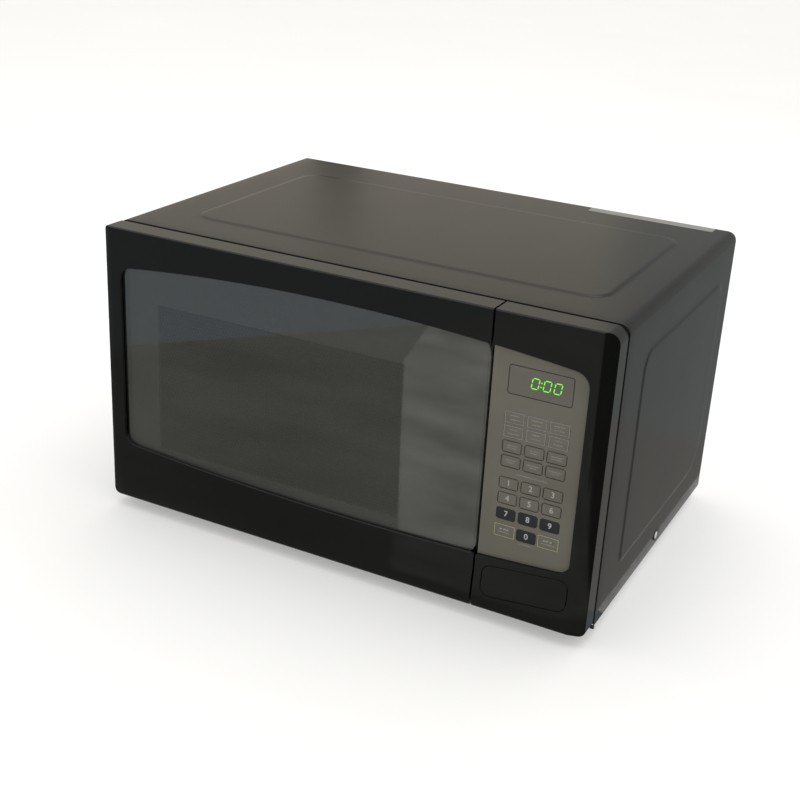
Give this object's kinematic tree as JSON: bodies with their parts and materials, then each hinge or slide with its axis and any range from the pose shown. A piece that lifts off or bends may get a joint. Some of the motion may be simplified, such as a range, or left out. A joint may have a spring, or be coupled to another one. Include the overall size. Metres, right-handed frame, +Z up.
{
  "type": "microwave oven",
  "caption": "Countertop microwave oven with a side-hinged mirror-glass door, a membrane keypad with a clock display, a push-button door release and a turntable.",
  "frame": {"origin": "on the worktop, under the middle of the oven's box", "axes": "+X to the viewer's right across the oven's width, +Y towards the back, so the door faces -Y, +Z up"},
  "size_m": [0.452, 0.325, 0.261],
  "materials": {
    "painted_steel": "satin black powder coat",
    "galvanised_steel": "bright zinc coat, matt",
    "cavity_enamel": "light grey epoxy enamel, semi-gloss",
    "black_plastic": "gloss black moulded plastic",
    "mirror_glass": "dark half-mirrored glass",
    "clear_glass": "clear tempered glass",
    "panel_film": "satin champagne-grey printed film",
    "key_film": "satin printed film with outlined keys",
    "key_film_dark": "satin dark printed film",
    "rubber": "black rubber",
    "mica": "pale brown mica board",
    "transformer_steel": "varnished laminations",
    "can_aluminium": "plain drawn can",
    "grey_plastic": "grey moulded plastic",
    "white_plastic": "white moulded plastic",
    "circuit_board": "green laminate"
  },
  "bodies": {
    "chassis": {"cabinet_cover": "painted_steel", "base_plate": "galvanised_steel", "rear_panel": "galvanised_steel", "foot_front_left": "rubber", "foot_front_right": "rubber", "foot_rear_left": "rubber", "foot_rear_right": "rubber", "cord_gland": "black_plastic", "oven_cavity": "cavity_enamel", "waveguide_cover": "mica", "magnetron": "galvanised_steel", "transformer": "transformer_steel", "capacitor": "can_aluminium", "fan_shroud": "grey_plastic", "oven_lamp": "clear_glass", "turntable_motor": "galvanised_steel", "hinge_upper": "galvanised_steel", "hinge_lower": "galvanised_steel", "control_fascia": "black_plastic", "keypad_overlay": "panel_film", "latch_bracket": "white_plastic", "control_board": "circuit_board"},
    "door": {"door_frame": "black_plastic", "door_glass": "mirror_glass", "door_panel": "galvanised_steel", "choke_cover": "black_plastic"},
    "latch": {"latch_hook": "white_plastic"},
    "button": {"door_button": "black_plastic"},
    "lever": {"release_lever": "white_plastic"},
    "turntable": {"turntable_coupler": "white_plastic", "glass_tray": "clear_glass"},
    "ring": {"roller_ring": "white_plastic"},
    "wheel_1": {"roller_1": "white_plastic"},
    "wheel_2": {"roller_2": "white_plastic"},
    "wheel_3": {"roller_3": "white_plastic"},
    "fan": {"fan_impeller": "white_plastic"},
    "key_quick_1": {"key_quick_1": "key_film"},
    "key_quick_2": {"key_quick_2": "key_film"},
    "key_quick_3": {"key_quick_3": "key_film"},
    "key_quick_4": {"key_quick_4": "key_film"},
    "key_quick_5": {"key_quick_5": "key_film"},
    "key_quick_6": {"key_quick_6": "key_film"},
    "key_programme_1": {"key_programme_1": "key_film"},
    "key_programme_2": {"key_programme_2": "key_film"},
    "key_programme_3": {"key_programme_3": "key_film"},
    "key_programme_4": {"key_programme_4": "key_film"},
    "key_programme_5": {"key_programme_5": "key_film"},
    "key_programme_6": {"key_programme_6": "key_film"},
    "key_1": {"key_1": "key_film"},
    "key_2": {"key_2": "key_film"},
    "key_3": {"key_3": "key_film"},
    "key_4": {"key_4": "key_film"},
    "key_5": {"key_5": "key_film"},
    "key_6": {"key_6": "key_film"},
    "key_7": {"key_7": "key_film_dark"},
    "key_8": {"key_8": "key_film_dark"},
    "key_9": {"key_9": "key_film_dark"},
    "key_stop": {"key_stop": "key_film"},
    "key_0": {"key_0": "key_film_dark"},
    "key_start": {"key_start": "key_film"}
  },
  "joints": [
    {"name": "door_hinge", "type": "hinge", "parent": "chassis", "child": "door", "pos_m": [-0.2186, -0.1456, 0.135], "axis": [0, 0, -1], "range_deg": [0, 100]},
    {"name": "button_press", "type": "slide", "parent": "chassis", "child": "button", "axis": [0, 1, 0], "range_m": [0, 0.005], "stiffness_N_per_m": 250},
    {"name": "turntable_spin", "type": "hinge", "parent": "chassis", "child": "turntable", "pos_m": [-0.057, 0.00995, 0.045], "axis": [0, 0, 1], "continuous": true},
    {"name": "fan_spin", "type": "hinge", "parent": "chassis", "child": "fan", "pos_m": [0.162, 0.118, 0.186], "axis": [0, 1, 0], "continuous": true},
    {"name": "lever_turn", "type": "hinge", "parent": "chassis", "child": "lever", "pos_m": [0.113, -0.1286, 0.0564], "axis": [1, 0, 0], "range_deg": [0, 27]},
    {"name": "latch_lift", "type": "slide", "parent": "door", "child": "latch", "axis": [0, 0, 1], "range_m": [0, 0.005], "stiffness_N_per_m": 120},
    {"name": "ring_spin", "type": "hinge", "parent": "chassis", "child": "ring", "pos_m": [-0.057, 0.00995, 0.0408], "axis": [0, 0, 1], "continuous": true},
    {"name": "wheel_1_roll", "type": "hinge", "parent": "ring", "child": "wheel_1", "pos_m": [0.036, 0.00995, 0.0408], "axis": [1, 0, 0], "continuous": true},
    {"name": "wheel_2_roll", "type": "hinge", "parent": "ring", "child": "wheel_2", "pos_m": [-0.1035, 0.09049, 0.0408], "axis": [-0.5, 0.866, 0], "continuous": true},
    {"name": "wheel_3_roll", "type": "hinge", "parent": "ring", "child": "wheel_3", "pos_m": [-0.1035, -0.07059, 0.0408], "axis": [-0.5, -0.866, 0], "continuous": true},
    {"name": "key_quick_1_press", "type": "slide", "parent": "chassis", "child": "key_quick_1", "axis": [0, 1, 0], "range_m": [0, 0.0004], "stiffness_N_per_m": 1500},
    {"name": "key_quick_2_press", "type": "slide", "parent": "chassis", "child": "key_quick_2", "axis": [0, 1, 0], "range_m": [0, 0.0004], "stiffness_N_per_m": 1500},
    {"name": "key_quick_3_press", "type": "slide", "parent": "chassis", "child": "key_quick_3", "axis": [0, 1, 0], "range_m": [0, 0.0004], "stiffness_N_per_m": 1500},
    {"name": "key_quick_4_press", "type": "slide", "parent": "chassis", "child": "key_quick_4", "axis": [0, 1, 0], "range_m": [0, 0.0004], "stiffness_N_per_m": 1500},
    {"name": "key_quick_5_press", "type": "slide", "parent": "chassis", "child": "key_quick_5", "axis": [0, 1, 0], "range_m": [0, 0.0004], "stiffness_N_per_m": 1500},
    {"name": "key_quick_6_press", "type": "slide", "parent": "chassis", "child": "key_quick_6", "axis": [0, 1, 0], "range_m": [0, 0.0004], "stiffness_N_per_m": 1500},
    {"name": "key_programme_1_press", "type": "slide", "parent": "chassis", "child": "key_programme_1", "axis": [0, 1, 0], "range_m": [0, 0.0004], "stiffness_N_per_m": 1500},
    {"name": "key_programme_2_press", "type": "slide", "parent": "chassis", "child": "key_programme_2", "axis": [0, 1, 0], "range_m": [0, 0.0004], "stiffness_N_per_m": 1500},
    {"name": "key_programme_3_press", "type": "slide", "parent": "chassis", "child": "key_programme_3", "axis": [0, 1, 0], "range_m": [0, 0.0004], "stiffness_N_per_m": 1500},
    {"name": "key_programme_4_press", "type": "slide", "parent": "chassis", "child": "key_programme_4", "axis": [0, 1, 0], "range_m": [0, 0.0004], "stiffness_N_per_m": 1500},
    {"name": "key_programme_5_press", "type": "slide", "parent": "chassis", "child": "key_programme_5", "axis": [0, 1, 0], "range_m": [0, 0.0004], "stiffness_N_per_m": 1500},
    {"name": "key_programme_6_press", "type": "slide", "parent": "chassis", "child": "key_programme_6", "axis": [0, 1, 0], "range_m": [0, 0.0004], "stiffness_N_per_m": 1500},
    {"name": "key_1_press", "type": "slide", "parent": "chassis", "child": "key_1", "axis": [0, 1, 0], "range_m": [0, 0.0004], "stiffness_N_per_m": 1500},
    {"name": "key_2_press", "type": "slide", "parent": "chassis", "child": "key_2", "axis": [0, 1, 0], "range_m": [0, 0.0004], "stiffness_N_per_m": 1500},
    {"name": "key_3_press", "type": "slide", "parent": "chassis", "child": "key_3", "axis": [0, 1, 0], "range_m": [0, 0.0004], "stiffness_N_per_m": 1500},
    {"name": "key_4_press", "type": "slide", "parent": "chassis", "child": "key_4", "axis": [0, 1, 0], "range_m": [0, 0.0004], "stiffness_N_per_m": 1500},
    {"name": "key_5_press", "type": "slide", "parent": "chassis", "child": "key_5", "axis": [0, 1, 0], "range_m": [0, 0.0004], "stiffness_N_per_m": 1500},
    {"name": "key_6_press", "type": "slide", "parent": "chassis", "child": "key_6", "axis": [0, 1, 0], "range_m": [0, 0.0004], "stiffness_N_per_m": 1500},
    {"name": "key_7_press", "type": "slide", "parent": "chassis", "child": "key_7", "axis": [0, 1, 0], "range_m": [0, 0.0004], "stiffness_N_per_m": 1500},
    {"name": "key_8_press", "type": "slide", "parent": "chassis", "child": "key_8", "axis": [0, 1, 0], "range_m": [0, 0.0004], "stiffness_N_per_m": 1500},
    {"name": "key_9_press", "type": "slide", "parent": "chassis", "child": "key_9", "axis": [0, 1, 0], "range_m": [0, 0.0004], "stiffness_N_per_m": 1500},
    {"name": "key_stop_press", "type": "slide", "parent": "chassis", "child": "key_stop", "axis": [0, 1, 0], "range_m": [0, 0.0004], "stiffness_N_per_m": 1500},
    {"name": "key_0_press", "type": "slide", "parent": "chassis", "child": "key_0", "axis": [0, 1, 0], "range_m": [0, 0.0004], "stiffness_N_per_m": 1500},
    {"name": "key_start_press", "type": "slide", "parent": "chassis", "child": "key_start", "axis": [0, 1, 0], "range_m": [0, 0.0004], "stiffness_N_per_m": 1500}
  ],
  "couplings": [
    {"joint": "lever_turn", "follows": "button_press", "rad_per_m": 83.333},
    {"joint": "latch_lift", "follows": "button_press", "ratio": 1},
    {"joint": "ring_spin", "follows": "turntable_spin", "ratio": 0.5},
    {"joint": "wheel_1_roll", "follows": "turntable_spin", "ratio": -6.2},
    {"joint": "wheel_2_roll", "follows": "turntable_spin", "ratio": -6.2},
    {"joint": "wheel_3_roll", "follows": "turntable_spin", "ratio": -6.2}
  ]
}
